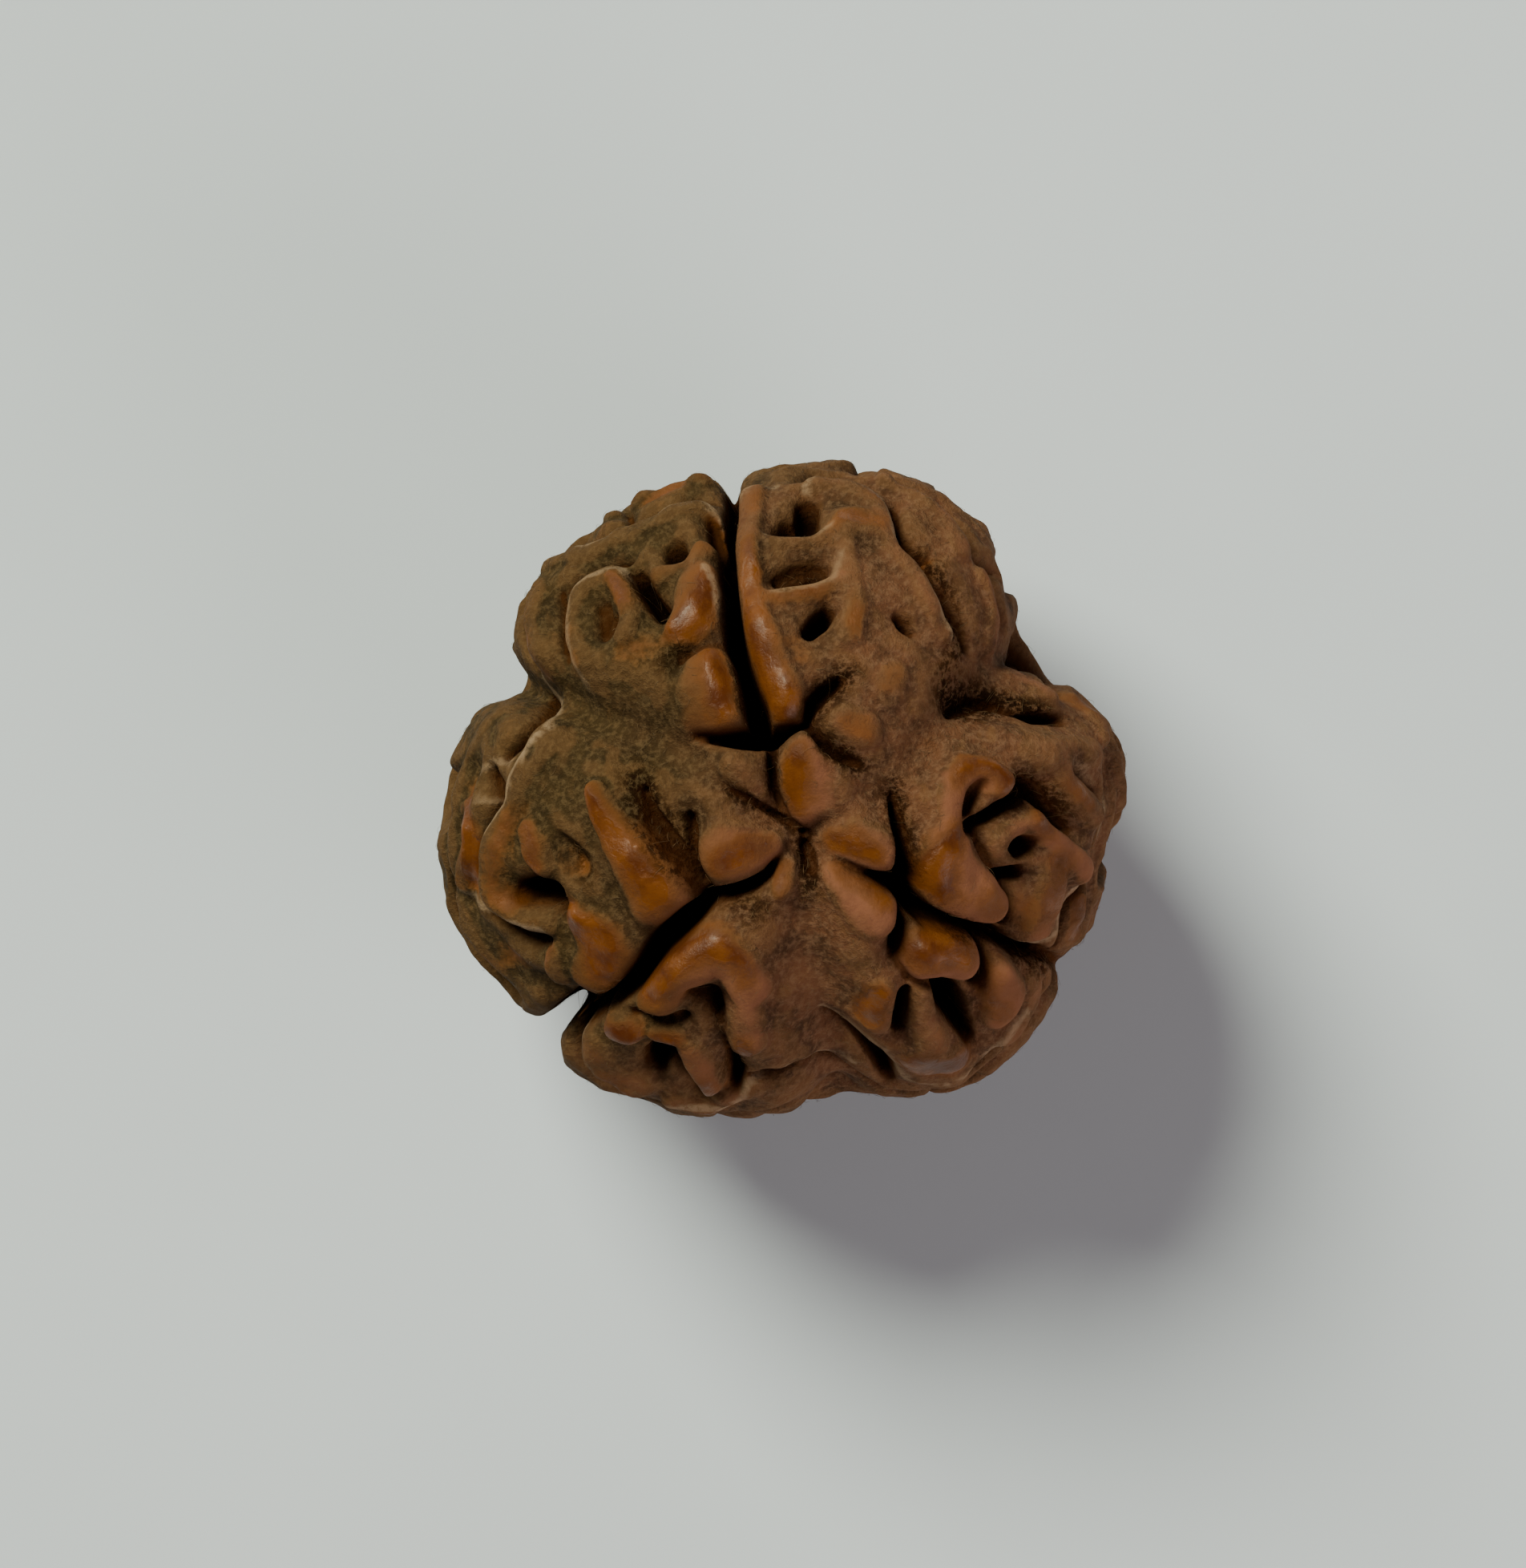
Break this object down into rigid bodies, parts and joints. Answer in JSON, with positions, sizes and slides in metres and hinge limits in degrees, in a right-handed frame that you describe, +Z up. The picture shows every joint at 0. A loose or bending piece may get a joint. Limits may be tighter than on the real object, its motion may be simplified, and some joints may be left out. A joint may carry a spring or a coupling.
{
  "type": "rudraksha bead",
  "caption": "Round lobed fruit stone with deep clefts that meet at a mouth and a net of worn ridges and pits all over.",
  "frame": {"origin": "centre of the bead's box at its base, on the surface it rests on", "axes": "+Z up through the mouth, +Y up the picture, +X to its right"},
  "size_m": [0.0214, 0.0206, 0.0189],
  "materials": {
    "nut_wood": "dry brown nut wood, dull and dusty on the broad parts, worn smooth and a little shiny on the ridges, nearly black in the pits"
  },
  "bodies": {
    "root": {"bead": "nut_wood"}
  },
  "joints": []
}
